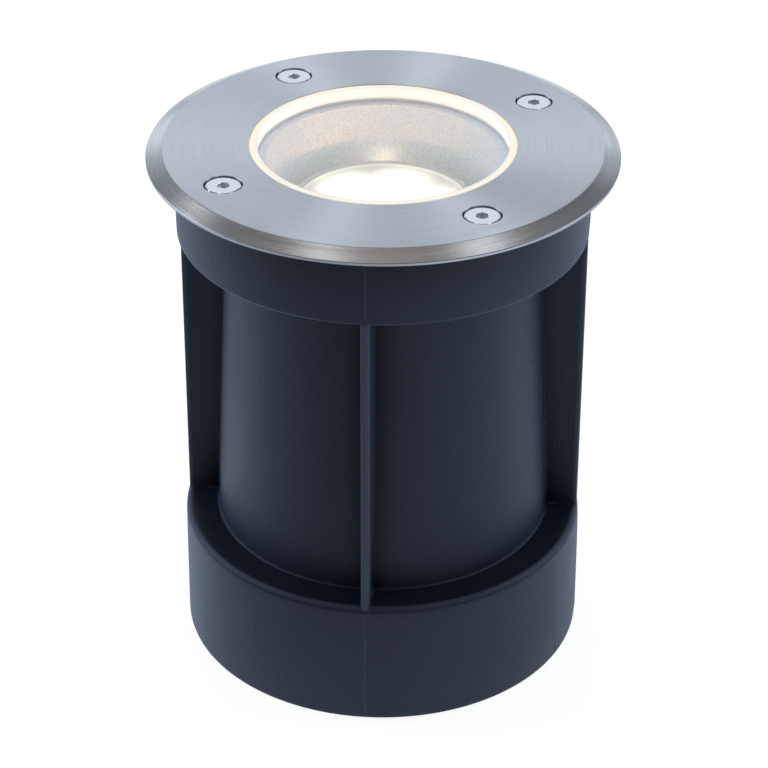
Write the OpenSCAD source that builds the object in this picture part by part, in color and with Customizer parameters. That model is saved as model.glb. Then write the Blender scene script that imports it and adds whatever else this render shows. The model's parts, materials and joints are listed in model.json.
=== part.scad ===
/* [Ground sleeve] */
// Height of the ground sleeve, from its base to its rim
sleeve_h = 144.9; // [130:0.1:170]
// Wall of the sleeve's moulding
sleeve_wall = 2.4; // [2:0.1:3]
// Outer diameter of the collar at its rim
collar_d = 110.9; // [110:0.1:116]
// Height of the collar
collar_h = 20.9; // [18:0.1:26]
// Draft of the collar, taken off its radius at its lower edge
collar_draft = 0.3; // [0:0.1:0.6]
// Rounding of the collar's lower edge
collar_edge_r = 0.8; // [0.3:0.1:1.5]
// Outer diameter of the drafted tube under the collar
tube_top_d = 84.6; // [82:0.1:92]
// Outer diameter of the drafted tube at the ledge
tube_base_d = 92.8; // [88:0.1:98]
// Height of the skirt that the tube stands on
skirt_h = 36.8; // [25:0.1:50]
// Outer diameter of the skirt at its ledge
skirt_top_d = 111.4; // [108:0.1:116]
// Outer diameter of the skirt at its base
skirt_base_d = 112.2; // [108:0.1:118]
// Rounding of the skirt's upper edge
skirt_edge_r = 2; // [0.5:0.1:3]

/* [Sleeve ribs] */
// Number of ribs round the tube
rib_count = 4; // [3:1:8]
// Angle of the first rib
rib_turn = 45; // [0:1:90]
// Thickness of a rib
rib_t = 2.2; // [1.5:0.1:4]
// Reach of a rib from the axis, under the collar
rib_top_r = 55; // [50:0.1:55.1]
// Reach of a rib from the axis, at the ledge
rib_base_r = 55.4; // [50:0.1:55.6]
// Height of the shallow ridge that the mould's seam leaves along a rib
rib_ridge = 0.25; // [0:0.05:0.5]

/* [Trim ring] */
// Outer diameter of the steel trim ring
ring_d = 125; // [120:0.5:140]
// Thickness of the trim ring
ring_t = 2.8; // [2.6:0.1:4]
// Diameter of the ring's flat top, inside the bevel
ring_flat_d = 116; // [108:0.5:118]
// Height of the ring's plain edge, under the bevel
ring_edge_h = 0.8; // [0.3:0.1:1.5]
// Diameter of the ring's opening
opening_d = 70.6; // [64:0.2:71.6]
// Rounding of the opening's upper edge
opening_edge_r = 0.4; // [0.1:0.1:0.8]

/* [Cover screws] */
// Diameter of the circle that the cover screws stand on
screw_pcd = 95.5; // [94:0.1:95.5]
// Number of cover screws
screw_count = 4; // [3:1:8]
// Angle of the first cover screw
screw_turn = -9; // [-45:1:45]
// Thread diameter of a cover screw
screw_d = 5; // [4:0.5:5]
// Length of a cover screw
screw_l = 16; // [14:1:17]
// Head diameter of a cover screw
head_d = 9.3; // [8:0.1:9.6]
// Height of the plain band round a screw head
head_band_h = 0.25; // [0.1:0.05:0.4]
// Mouth diameter of a countersink in the ring
sink_d = 10.2; // [9.8:0.1:10.8]
// Width of a screw's hexagon socket, across its flats
hex_af = 3; // [2.5:0.5:4]
// Depth of a screw's hexagon socket
hex_deep = 1.8; // [1:0.1:2.2]

/* [Glass and gasket] */
// Thickness of the stepped glass
glass_t = 8; // [7:0.5:12]
// Width of the step round the glass
glass_step_w = 6.7; // [4:0.1:7]
// Drop of the glass under the ring's top face
glass_drop = 0.1; // [0:0.05:0.5]
// Bevel of the glass's upper edge
glass_bevel = 0.4; // [0.1:0.1:0.8]
// Width of the gasket's lip in the ring's opening
lip_w = 2; // [1.2:0.1:3]
// Drop of the gasket's lip under the ring's top face
lip_drop = 0.2; // [0:0.05:0.5]
// Thickness of the gasket between the ring and the glass
gasket_top_t = 0.8; // [0.5:0.1:2]
// Thickness of the gasket under the glass
gasket_low_t = 0.9; // [0.5:0.1:2]
// Thickness of the gasket round the glass
gasket_side_t = 1.6; // [0.8:0.1:2]

/* [Pot] */
// Bore of the pot, just under its glass seat
pot_bore_d = 62; // [58:0.5:64]
// Wall of the pot
pot_wall = 3; // [2:0.1:4]
// Draft of the pot, taken off its radius at its floor
pot_draft = 1; // [0:0.1:2]
// Depth of the pot, from its flange to the outside of its floor
pot_depth = 103; // [100:0.5:112]
// Thickness of the pot's floor
floor_t = 3.5; // [2:0.1:6]
// Thickness of the pot's flange
flange_t = 3; // [2:0.1:5]
// Diameter of a screw boss under the flange
boss_d = 9; // [8.4:0.1:9]
// Thickness of the web between a boss and the pot
web_t = 3; // [2:0.1:5]
// Outer diameter of a threaded insert
insert_d = 7; // [6.6:0.1:7.6]
// Length of a threaded insert
insert_l = 10; // [8:0.5:12]

/* [Lamp] */
// Depth of the lamp's front under the ring's top face
lamp_drop = 23; // [18:0.5:26]
// Diameter of the lamp's front
lamp_d = 50; // [48:0.5:51]
// Length of the lamp, from its front to the end of its base
lamp_l = 47; // [44:0.5:50]
// Height of the bezel round the lamp's front
bezel_h = 5; // [3:0.5:8]
// Width of the bezel's face
bezel_w = 2; // [1:0.1:4]
// Diameter of the lamp's base
lamp_base_d = 25.4; // [23:0.1:27]
// Height of the lamp's base
lamp_base_h = 14; // [10:0.5:18]
// Wall of the lamp's shell
lamp_wall = 1.2; // [0.8:0.1:2]
// Number of cooling fins round the lamp
fin_count = 18; // [6:1:24]
// Angle that unlocks the lamp from its holder
twist_angle = 30; // [20:1:40]
// Distance between the lamp's two pins
pin_pitch = 10; // [9.6:0.1:11]

/* [Lampholder] */
// Diameter of the lampholder
holder_d = 27; // [25:0.5:34]
// Height of the lampholder
holder_h = 14; // [12:0.5:18]
// Width of the bracket under the lampholder
bracket_w = 16; // [12:0.5:18]
// Thickness of the bracket's sheet
bracket_t = 1.5; // [1:0.1:2]

/* [Terminal block and earth] */
// Length of the terminal block
block_l = 24; // [22:0.5:26]
// Room between the gland's nut and the terminal block
nut_room = 3.5; // [3:0.1:4.5]
// Height of the terminal block
block_h = 14; // [12:0.5:16]
// Outer diameter of an inner lead
lead_d = 2.2; // [1.8:0.1:2.6]

/* [Cable gland] */
// Thread diameter of the cable gland
gland_d = 16; // [14:0.5:18]
// Width of the gland's hexagons, across their flats
gland_af = 20; // [19:0.5:24]
// Bore of the gland's seal, which is the cable's diameter
cable_d = 8; // [6:0.5:9]

/* [Hidden] */
$fn = 96;

// Fits that the pieces share
// Gap between pieces that come apart
seat_gap = 0.3;
// Gap between round pieces that stay together
fit_gap = 0.05;
// Overrun of a cut past the face that it opens
overrun = 1;

// Radii and levels of the sleeve
collar_r = collar_d / 2;
collar_low_r = collar_r - collar_draft;
collar_z = sleeve_h - collar_h;
collar_bore_r = collar_low_r - sleeve_wall;
shelf_z = collar_z + sleeve_wall;
tube_top_r = tube_top_d / 2;
tube_base_r = tube_base_d / 2;
skirt_top_r = skirt_top_d / 2;
skirt_base_r = skirt_base_d / 2;
// Depth to which a rib is sunk into the collar and the skirt
rib_sink = sleeve_wall / 2;

// Radii and levels of the ring and the glass
ring_z = sleeve_h + seat_gap;
ring_top_z = ring_z + ring_t;
ring_r = ring_d / 2;
ring_flat_r = ring_flat_d / 2;
opening_r = opening_d / 2;
plug_r = opening_r - lip_w;
glass_top_z = ring_top_z - glass_drop;
glass_low_z = glass_top_z - glass_t;
glass_step_z = ring_z - gasket_top_t;
glass_r = plug_r + glass_step_w;
gasket_r = glass_r + gasket_side_t;
gasket_low_z = glass_low_z - gasket_low_t;

// Radii and levels of the cover screws
screw_r = screw_d / 2;
screw_ring_r = screw_pcd / 2;
head_r = head_d / 2;
sink_r = sink_d / 2;
screw_hole_r = screw_r + seat_gap;
// The head's cone lies on the countersink's
screw_top_z = ring_top_z - (sink_r - head_r) + head_band_h + fit_gap;
// Bevel of a cover screw's tip
screw_tip = 0.5;

// Radii and levels of the pot
pot_top_z = ring_z - seat_gap;
pot_floor_z = pot_top_z - pot_depth;
pot_inner_z = pot_floor_z + floor_t;
pot_bore_r = pot_bore_d / 2;
pot_low_bore_r = pot_bore_r - pot_draft;
recess_r = gasket_r + seat_gap;
seat_z = gasket_low_z - seat_gap;
flange_r = collar_bore_r - seat_gap;
boss_r = boss_d / 2;
boss_z = shelf_z + seat_gap;
insert_r = insert_d / 2;
insert_top_z = pot_top_z - seat_gap;
// Wall of the cup that holds the glass and its gasket
cup_wall = 2.4;
// Depth of a boss's drilling under its insert or its screw
drill_tip = 1.5;
// Room between the pot's bore and the fittings on its floor
wall_room = 0.9;

// Sizes and levels of the lamp
lamp_z = ring_top_z - lamp_drop;
lamp_r = lamp_d / 2;
lamp_end_z = lamp_z - lamp_l;
lamp_base_r = lamp_base_d / 2;
lamp_base_top_z = lamp_end_z + lamp_base_h;
bezel_z = lamp_z - bezel_h;
lens_r = lamp_r - bezel_w;
lens_t = 1.6;
// Drop of the lens under the bezel's face
lens_drop = 0.8;
fin_t = 1.2;
// Height of a cooling fin over the shell's core
fin_proud = 1.4;
// Swell of the lamp's taper, halfway up
taper_swell = 1.4;
// Depth of the light board under the bezel
board_drop = 6;
// Width of the shoulder that the light board rests on
board_seat_w = 2;
board_t = 1.6;
board_z = bezel_z - board_drop;
board_bore_r = lamp_r - fin_proud - 2 * lamp_wall;
board_r = board_bore_r - fit_gap;
chip_r = 2.6;
chip_t = 0.8;
// Number of light sources round the middle one
chip_count = 6;
// Place of those sources, between the board's centre and its edge
chip_ring_share = 0.52;
base_wall = 1.6;
base_floor_t = 3;
pin_r = 1.5;
pin_head_r = 2.5;
pin_head_h = 3;
pin_l = 7;
pin_ring_r = pin_pitch / 2;
driver_w = 14;
driver_t = 1.6;
driver_l = 26;

// Sizes and levels of the lampholder
holder_z = lamp_end_z - seat_gap - holder_h;
holder_top_z = holder_z + holder_h;
holder_r = holder_d / 2;
holder_web_t = 3;
holder_foot_t = 2.5;
slot_steps = 8;
contact_r = 1.9;
contact_t = 1;
tail_r = 0.9;
tail_l = 3;
// Place of a holder screw, between the holder's centre and its edge
holder_screw_share = 0.76;
holder_screw_x = holder_r * holder_screw_share;
sheet_z = holder_z - bracket_t;
post_r = 3.5;
post_h = 4;
foot_l = 8;
foot_z = pot_inner_z + post_h;
// Distance from the axis to the end of a foot
foot_x = sqrt(pow(pot_low_bore_r, 2) - pow(bracket_w / 2, 2)) - wall_room;
leg_x = foot_x - foot_l;
foot_screw_x = foot_x - foot_l / 2;
small_screw_r = 1.5;
small_head_r = 2.8;
small_head_h = 1.8;
small_screw_l = 5;
slot_w = 0.7;
slot_deep = 0.8;

// Sizes and places of the terminal block and the earth
block_front_y = gland_af / 2 + nut_room;
block_back_y = sqrt(pow(pot_low_bore_r - wall_room, 2) - pow(block_l / 2, 2));
block_w = block_back_y - block_front_y;
block_y = block_front_y + block_w / 2;
pole_pitch = block_l / 3;
pole_hole_r = 1.7;
// Height of a pole's wire hole, between the block's foot and its top
pole_hole_share = 0.56;
pole_hole_z = pot_inner_z + block_h * pole_hole_share;
pole_screw_r = 1.6;
// Place of a pole's two screws, off the middle of the block's width
pole_screw_share = 0.25;
pole_screw_y = block_w * pole_screw_share;
pole_screw_drop = 1;
pole_notch_w = 1.2;
lead_r = lead_d / 2;
// Length of a lead inside the terminal block
lead_reach = 4;
// Reach of a lead's bend, between its ends
lead_bend_share = 0.4;
// Swing of the earth lead, of the room between its lug and the bracket's leg
earth_swing_share = 1.55;
lead_steps = 12;
lead_sides = 8;
earth_y = -20;
earth_post_h = 3;
lug_r = 3.4;
lug_t = 0.8;
lug_barrel_r = 1.6;
lug_barrel_l = 5;
lug_barrel_x = 4;
lug_barrel_z = pot_inner_z + earth_post_h + lug_barrel_r;

// Sizes and levels of the cable gland
gland_r = gland_d / 2;
gland_hex_r = gland_af / 2 / cos(30);
gland_washer_t = 1.5;
gland_hex_h = 5;
gland_low_l = 8;
// Thickness of the cap's end, under the seal
gland_cap_end = 5;
gland_nut_h = 5;
gland_wall = 1.6;
// Gap round the cable, past the seal
gland_clear = 0.8;
gland_top_z = pot_inner_z + gland_nut_h + gland_washer_t;
gland_hex_z = pot_floor_z - gland_washer_t - gland_hex_h;
gland_low_z = gland_hex_z - gland_low_l;
gland_cap_top_z = gland_hex_z - seat_gap;
gland_cap_z = gland_low_z - gland_cap_end;
cable_r = cable_d / 2;
seal_r = gland_r - gland_wall;

// Places on a circle
module round_the_axis(count, ring, turn = 0) {
  for (i = [0 : count - 1])
    rotate([0, 0, turn + i * 360 / count])
      translate([ring, 0, 0])
        children();
}

// A straight screw slot across the Z axis
module slot_cut(length, z) {
  translate([-length, -slot_w / 2, z - slot_deep])
    cube([2 * length, slot_w, slot_deep + overrun]);
}

// Ground sleeve
module sleeve_outline() {
  polygon([
    [0, 0],
    [skirt_base_r, 0],
    [skirt_top_r, skirt_h - skirt_edge_r],
    [skirt_top_r - skirt_edge_r, skirt_h],
    [tube_base_r, skirt_h],
    [tube_top_r, collar_z],
    [collar_low_r - collar_edge_r, collar_z],
    [collar_low_r, collar_z + collar_edge_r],
    [collar_r, sleeve_h],
    [0, sleeve_h],
  ]);
  translate([skirt_top_r - skirt_edge_r, skirt_h - skirt_edge_r])
    circle(r = skirt_edge_r);
  translate([collar_low_r - collar_edge_r, collar_z + collar_edge_r])
    circle(r = collar_edge_r);
}

module sleeve_cavity_outline() {
  polygon([
    [0, -overrun],
    [skirt_base_r - sleeve_wall, -overrun],
    [skirt_top_r - sleeve_wall, skirt_h - sleeve_wall],
    [tube_base_r - sleeve_wall, skirt_h - sleeve_wall],
    [tube_top_r - sleeve_wall, shelf_z],
    [collar_bore_r, shelf_z],
    [collar_bore_r, sleeve_h + overrun],
    [0, sleeve_h + overrun],
  ]);
}

// A rib stands upright, and its outer edge leans in towards the collar
module sleeve_rib() {
  span = collar_z - skirt_h;
  lean = atan((rib_base_r - rib_top_r) / span);
  depth = rib_base_r - tube_top_r + sleeve_wall;
  translate([rib_base_r, 0, skirt_h])
    rotate([0, -lean, 0])
      translate([0, 0, -rib_sink])
        linear_extrude(span + 2 * rib_sink)
          polygon([
            [-depth, -rib_t / 2],
            [-rib_ridge, -rib_t / 2],
            [0, 0],
            [-rib_ridge, rib_t / 2],
            [-depth, rib_t / 2],
          ]);
}

module mounting_sleeve() {
  color([0.13, 0.14, 0.18])
    difference() {
      union() {
        rotate_extrude() sleeve_outline();
        round_the_axis(rib_count, 0, rib_turn) sleeve_rib();
      }
      rotate_extrude() sleeve_cavity_outline();
    }
}

// Trim ring
module ring_outline() {
  polygon([
    [opening_r, ring_z],
    [ring_r, ring_z],
    [ring_r, ring_z + ring_edge_h],
    [ring_flat_r, ring_top_z],
    [opening_r + opening_edge_r, ring_top_z],
    [opening_r, ring_top_z - opening_edge_r],
  ]);
  translate([opening_r + opening_edge_r, ring_top_z - opening_edge_r])
    circle(r = opening_edge_r);
}

module countersink() {
  sink_h = sink_r - screw_hole_r;
  translate([0, 0, ring_top_z - sink_h])
    cylinder(r1 = screw_hole_r, r2 = sink_r, h = sink_h);
  translate([0, 0, ring_top_z])
    cylinder(r = sink_r, h = overrun);
  translate([0, 0, ring_z - overrun])
    cylinder(r = screw_hole_r, h = ring_t + overrun);
}

module trim_ring() {
  color([0.72, 0.73, 0.75])
    difference() {
      rotate_extrude() ring_outline();
      round_the_axis(screw_count, screw_ring_r, screw_turn) countersink();
    }
}

// Cover screws
module cover_screw() {
  cone_z = screw_top_z - head_band_h;
  neck_z = cone_z - (head_r - screw_r);
  end_z = screw_top_z - screw_l;
  difference() {
    rotate_extrude()
      polygon([
        [0, end_z],
        [screw_r - screw_tip, end_z],
        [screw_r, end_z + screw_tip],
        [screw_r, neck_z],
        [head_r, cone_z],
        [head_r, screw_top_z],
        [0, screw_top_z],
      ]);
    translate([0, 0, screw_top_z - hex_deep])
      cylinder(r = hex_af / 2 / cos(30), h = hex_deep + overrun, $fn = 6);
  }
}

module cover_screws() {
  color([0.82, 0.83, 0.85])
    round_the_axis(screw_count, screw_ring_r, screw_turn) cover_screw();
}

// Stepped glass and its gasket
module glass() {
  color([0.85, 0.92, 0.95, 0.4])
    rotate_extrude()
      polygon([
        [0, glass_low_z],
        [glass_r, glass_low_z],
        [glass_r, glass_step_z],
        [plug_r, glass_step_z],
        [plug_r, glass_top_z - glass_bevel],
        [plug_r - glass_bevel, glass_top_z],
        [0, glass_top_z],
      ]);
}

module glass_gasket() {
  lip_r = opening_r - fit_gap;
  lip_z = ring_top_z - lip_drop;
  bore_r = plug_r + fit_gap;
  side_r = glass_r + fit_gap;
  color([0.95, 0.93, 0.86])
    rotate_extrude()
      polygon([
        [bore_r, lip_z],
        [lip_r, lip_z],
        [lip_r, ring_z],
        [gasket_r, ring_z],
        [gasket_r, gasket_low_z],
        [bore_r, gasket_low_z],
        [bore_r, glass_low_z],
        [side_r, glass_low_z],
        [side_r, glass_step_z],
        [bore_r, glass_step_z],
      ]);
}

// Pot
module pot_outline() {
  pot_r = pot_bore_r + pot_wall;
  pot_low_r = pot_low_bore_r + pot_wall;
  cup_r = recess_r + cup_wall;
  cup_z = seat_z - pot_wall;
  polygon([
    [0, pot_floor_z],
    [pot_low_r, pot_floor_z],
    [pot_r, cup_z],
    [cup_r, cup_z],
    [cup_r, pot_top_z - flange_t],
    [flange_r, pot_top_z - flange_t],
    [flange_r, pot_top_z],
    [recess_r, pot_top_z],
    [recess_r, seat_z],
    [pot_bore_r, seat_z],
    [pot_low_bore_r, pot_inner_z],
    [0, pot_inner_z],
  ]);
}

module pot_boss() {
  intersection() {
    translate([screw_ring_r, 0, boss_z])
      cylinder(r = boss_r, h = pot_top_z - boss_z - flange_t / 2);
    translate([0, 0, boss_z])
      cylinder(r = flange_r, h = pot_depth);
  }
  translate([pot_bore_r + pot_wall / 2, -web_t / 2, boss_z])
    cube([screw_ring_r - pot_bore_r - pot_wall / 2, web_t, seat_z - pot_wall / 2 - boss_z]);
}

module boss_drilling() {
  drill_z = insert_top_z - insert_l;
  low_r = screw_r + seat_gap;
  low_z = min(drill_z, screw_top_z - screw_l) - drill_tip;
  translate([screw_ring_r, 0, 0]) {
    translate([0, 0, drill_z])
      cylinder(r = insert_r + fit_gap, h = pot_top_z + overrun - drill_z);
    translate([0, 0, low_z])
      cylinder(r = low_r, h = drill_z - low_z + overrun);
  }
}

module floor_post(x, y, height) {
  translate([x, y, pot_inner_z - floor_t / 2])
    cylinder(r = post_r, h = height + floor_t / 2);
}

module floor_drilling(x, y, height) {
  translate([x, y, pot_inner_z + height - small_screw_l])
    cylinder(r = small_screw_r + fit_gap, h = small_screw_l + overrun);
}

module pot_housing() {
  color([0.62, 0.62, 0.62])
    difference() {
      union() {
        rotate_extrude() pot_outline();
        round_the_axis(screw_count, 0, screw_turn) pot_boss();
        for (side = [-1, 1])
          floor_post(side * foot_screw_x, 0, post_h);
        floor_post(0, earth_y, earth_post_h);
      }
      round_the_axis(screw_count, 0, screw_turn) boss_drilling();
      for (side = [-1, 1])
        floor_drilling(side * foot_screw_x, 0, post_h);
      floor_drilling(0, earth_y, earth_post_h);
      translate([0, 0, pot_floor_z - overrun])
        cylinder(r = gland_r + fit_gap, h = floor_t + 2 * overrun);
    }
}

module threaded_inserts() {
  color([0.8, 0.66, 0.35])
    round_the_axis(screw_count, screw_ring_r, screw_turn)
      translate([0, 0, insert_top_z - insert_l])
        difference() {
          cylinder(r = insert_r, h = insert_l);
          translate([0, 0, -overrun])
            cylinder(r = screw_r + 2 * fit_gap, h = insert_l + 2 * overrun);
        }
}

// Lamp
// The taper's points, from the lamp's base up to its bezel
function lamp_taper(inset) = [
  [lamp_base_r - inset, lamp_base_top_z],
  [(lamp_base_r + lamp_r) / 2 + taper_swell - inset, (bezel_z + lamp_base_top_z) / 2],
  [lamp_r - inset, bezel_z],
];

module lamp_core_outline() {
  polygon(concat([[0, lamp_base_top_z]], lamp_taper(fin_proud), [[0, bezel_z]]));
}

module lamp_fin() {
  inner = lamp_taper(fin_proud + lamp_wall / 2);
  translate([0, fin_t / 2, 0])
    rotate([90, 0, 0])
      linear_extrude(fin_t)
        polygon(concat(lamp_taper(0), [inner[2], inner[1], inner[0]]));
}

module lamp_cavity_outline() {
  neck_r = lamp_base_r - fin_proud - lamp_wall;
  polygon([
    [0, lamp_base_top_z - overrun],
    [neck_r, lamp_base_top_z - overrun],
    [neck_r, lamp_base_top_z],
    [board_bore_r - board_seat_w, board_z],
    [board_bore_r, board_z],
    [board_bore_r, bezel_z + overrun],
    [0, bezel_z + overrun],
  ]);
}

module lamp_shell() {
  color([0.86, 0.86, 0.86])
    difference() {
      union() {
        rotate_extrude() lamp_core_outline();
        round_the_axis(fin_count, 0) lamp_fin();
      }
      rotate_extrude() lamp_cavity_outline();
    }
}

module lamp_bezel() {
  color([0.8, 0.81, 0.82])
    difference() {
      translate([0, 0, bezel_z])
        cylinder(r = lamp_r, h = bezel_h);
      translate([0, 0, bezel_z - overrun])
        cylinder(r = lens_r - bezel_w, h = bezel_h + 2 * overrun);
      translate([0, 0, lamp_z - lens_drop - lens_t])
        cylinder(r = lens_r + fit_gap, h = lens_t + lens_drop + overrun);
    }
}

module lamp_lens() {
  color([1, 0.97, 0.88])
    translate([0, 0, lamp_z - lens_drop - lens_t])
      cylinder(r = lens_r, h = lens_t);
}

module lamp_base() {
  color([0.93, 0.93, 0.91])
    difference() {
      translate([0, 0, lamp_end_z])
        cylinder(r = lamp_base_r, h = lamp_base_h);
      translate([0, 0, lamp_end_z + base_floor_t])
        cylinder(r = lamp_base_r - base_wall, h = lamp_base_h);
      round_the_axis(2, pin_ring_r)
        translate([0, 0, lamp_end_z - overrun])
          cylinder(r = pin_r + fit_gap, h = base_floor_t + 2 * overrun);
    }
}

module lamp_pins() {
  head_z = lamp_end_z - pin_l;
  color([0.83, 0.8, 0.72])
    round_the_axis(2, pin_ring_r) {
      translate([0, 0, head_z])
        cylinder(r = pin_head_r, h = pin_head_h);
      translate([0, 0, head_z])
        cylinder(r = pin_r, h = pin_l + base_floor_t);
    }
}

module led_board() {
  color([0.95, 0.95, 0.95])
    translate([0, 0, board_z])
      cylinder(r = board_r, h = board_t);
}

module led_chips() {
  color([1, 0.9, 0.55]) {
    translate([0, 0, board_z + board_t])
      cylinder(r = chip_r, h = chip_t);
    round_the_axis(chip_count, board_r * chip_ring_share)
      translate([0, 0, board_z + board_t])
        cylinder(r = chip_r, h = chip_t);
  }
}

module driver_board() {
  driver_z = lamp_end_z + base_floor_t;
  color([0.2, 0.45, 0.3])
    translate([-driver_w / 2, -driver_t / 2, driver_z])
      cube([driver_w, driver_t, driver_l]);
}

// Lampholder
function on_circle(ring, angle) = ring * [cos(angle), sin(angle)];

// A curved slot round the axis, with rounded ends
function slot_outline(half_w) = concat(
  [for (k = [0 : slot_steps]) on_circle(pin_ring_r + half_w, twist_angle * k / slot_steps)],
  [for (k = [1 : slot_steps - 1])
    on_circle(pin_ring_r, twist_angle) + on_circle(half_w, twist_angle + 180 * k / slot_steps)],
  [for (k = [0 : slot_steps]) on_circle(pin_ring_r - half_w, twist_angle * (1 - k / slot_steps))],
  [for (k = [1 : slot_steps - 1])
    on_circle(pin_ring_r, 0) + on_circle(half_w, 180 + 180 * k / slot_steps)]
);

module holder_slot(half_w, low_z, high_z) {
  translate([0, 0, low_z])
    linear_extrude(high_z - low_z)
      polygon(slot_outline(half_w));
}

// The pins' heads drop in at each slot's wide end and turn under its lip
module lampholder() {
  head_way_r = pin_head_r + seat_gap;
  chamber_z = holder_z + holder_foot_t;
  chamber_top_z = holder_top_z - holder_web_t;
  color([0.94, 0.93, 0.9])
    difference() {
      translate([0, 0, holder_z])
        cylinder(r = holder_r, h = holder_h);
      for (side = [0, 180])
        rotate([0, 0, side]) {
          holder_slot(head_way_r, chamber_z, chamber_top_z);
          holder_slot(pin_r + seat_gap, chamber_top_z - overrun, holder_top_z + overrun);
          rotate([0, 0, twist_angle])
            translate([pin_ring_r, 0, chamber_top_z - overrun])
              cylinder(r = head_way_r + fit_gap, h = holder_web_t + 2 * overrun);
          translate([pin_ring_r, 0, holder_z - overrun])
            cylinder(r = tail_r + fit_gap, h = holder_foot_t + 2 * overrun);
          translate([holder_screw_x, 0, holder_z - overrun])
            cylinder(r = small_screw_r + fit_gap, h = small_screw_l + overrun);
        }
    }
}

module holder_contacts() {
  contact_z = lamp_end_z - pin_l - seat_gap - contact_t;
  tail_z = holder_z - tail_l;
  color([0.85, 0.68, 0.35])
    round_the_axis(2, pin_ring_r) {
      translate([0, 0, contact_z])
        cylinder(r = contact_r, h = contact_t);
      translate([0, 0, tail_z])
        cylinder(r = tail_r, h = contact_z + contact_t - tail_z);
    }
}

module holder_bracket() {
  color([0.75, 0.76, 0.78])
    difference() {
      translate([0, bracket_w / 2, 0])
        rotate([90, 0, 0])
          linear_extrude(bracket_w)
            polygon([
              [-foot_x, foot_z],
              [-foot_x, foot_z + bracket_t],
              [-leg_x, foot_z + bracket_t],
              [-leg_x, holder_z],
              [leg_x, holder_z],
              [leg_x, foot_z + bracket_t],
              [foot_x, foot_z + bracket_t],
              [foot_x, foot_z],
              [leg_x - bracket_t, foot_z],
              [leg_x - bracket_t, sheet_z],
              [bracket_t - leg_x, sheet_z],
              [bracket_t - leg_x, foot_z],
            ]);
      for (side = [-1, 1]) {
        translate([side * pin_ring_r, 0, sheet_z - overrun])
          cylinder(r = contact_r, h = bracket_t + 2 * overrun);
        translate([side * holder_screw_x, 0, sheet_z - overrun])
          cylinder(r = small_screw_r + fit_gap, h = bracket_t + 2 * overrun);
        translate([side * foot_screw_x, 0, foot_z - overrun])
          cylinder(r = small_screw_r + fit_gap, h = bracket_t + 2 * overrun);
      }
    }
}

// A small slotted screw, with its head's seat at the origin
module small_screw() {
  difference() {
    union() {
      cylinder(r = small_head_r, h = small_head_h);
      translate([0, 0, -small_screw_l])
        cylinder(r = small_screw_r, h = small_screw_l + small_head_h / 2);
    }
    slot_cut(small_head_r, small_head_h);
  }
}

module bracket_screws() {
  color([0.8, 0.8, 0.82])
    for (side = [-1, 1])
      translate([side * foot_screw_x, 0, foot_z + bracket_t])
        small_screw();
}

module holder_screws() {
  color([0.8, 0.8, 0.82])
    for (side = [-1, 1])
      translate([side * holder_screw_x, 0, sheet_z])
        mirror([0, 0, 1])
          small_screw();
}

// Terminal block
module terminal_block() {
  color([0.93, 0.92, 0.88])
    difference() {
      translate([-block_l / 2, block_front_y, pot_inner_z])
        cube([block_l, block_w, block_h]);
      for (pole = [-1 : 1]) {
        translate([pole * pole_pitch, block_front_y - overrun, pole_hole_z])
          rotate([-90, 0, 0])
            cylinder(r = pole_hole_r, h = block_w + 2 * overrun);
        for (side = [-1, 1])
          translate([pole * pole_pitch, block_y + side * pole_screw_y, pole_hole_z])
            cylinder(r = pole_screw_r + fit_gap, h = block_h);
      }
      for (side = [-1, 1])
        translate([side * pole_pitch / 2 - pole_notch_w / 2, block_front_y - overrun, pole_hole_z])
          cube([pole_notch_w, block_w + 2 * overrun, block_h]);
    }
}

module terminal_screws() {
  screw_z = pole_hole_z + lead_r;
  screw_h = pot_inner_z + block_h - pole_screw_drop - screw_z;
  color([0.8, 0.8, 0.82])
    for (pole = [-1 : 1])
      for (side = [-1, 1])
        translate([pole * pole_pitch, block_y + side * pole_screw_y, screw_z])
          difference() {
            cylinder(r = pole_screw_r, h = screw_h);
            slot_cut(pole_screw_r, screw_h);
          }
}

// Inner leads
function unit(v) = v / norm(v);

function bezier(a, b, c, d, t) =
  pow(1 - t, 3) * a + 3 * pow(1 - t, 2) * t * b + 3 * (1 - t) * t * t * c + t * t * t * d;

function lead_bend(start, finish) = lead_bend_share * norm(finish - start);

// A lead leaves its start straight along out, swings that far, and runs straight into its end
function lead_path(start, out, swing, finish, into) =
  let (
    first = start + lead_r * out,
    reach = lead_bend(first, finish)
  )
  concat(
    [start],
    [for (i = [0 : lead_steps])
      bezier(first, first + swing * out, finish - reach * into, finish, i / lead_steps)],
    [finish + lead_reach * into]
  );

function ring_points(path, i, side) =
  let (
    last = len(path) - 1,
    along = unit(path[min(i + 1, last)] - path[max(i - 1, 0)]),
    up = unit(cross(along, side)),
    across = cross(up, along)
  )
  [for (k = [0 : lead_sides - 1])
    path[i] + lead_r * (cos(k * 360 / lead_sides) * across + sin(k * 360 / lead_sides) * up)];

module lead(path, side) {
  n = lead_sides;
  last = len(path) - 1;
  polyhedron(
    points = [for (i = [0 : last]) each ring_points(path, i, side)],
    faces = concat(
      [[for (k = [0 : n - 1]) n - 1 - k]],
      [for (i = [0 : last - 1]) for (k = [0 : n - 1])
        [i * n + k, i * n + (k + 1) % n, (i + 1) * n + (k + 1) % n]],
      [for (i = [0 : last - 1]) for (k = [0 : n - 1])
        [i * n + k, (i + 1) * n + (k + 1) % n, (i + 1) * n + k]],
      [[for (k = [0 : n - 1]) last * n + k]]
    )
  );
}

module holder_lead(side, pole) {
  start = [side * pin_ring_r, 0, holder_z - tail_l];
  finish = [pole * pole_pitch, block_front_y - lead_r, pole_hole_z];
  lead(lead_path(start, [0, 0, -1], lead_bend(start, finish), finish, [0, 1, 0]), [1, 0, 0]);
}

module live_lead() {
  color([0.45, 0.28, 0.18])
    holder_lead(-1, -1);
}

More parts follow.
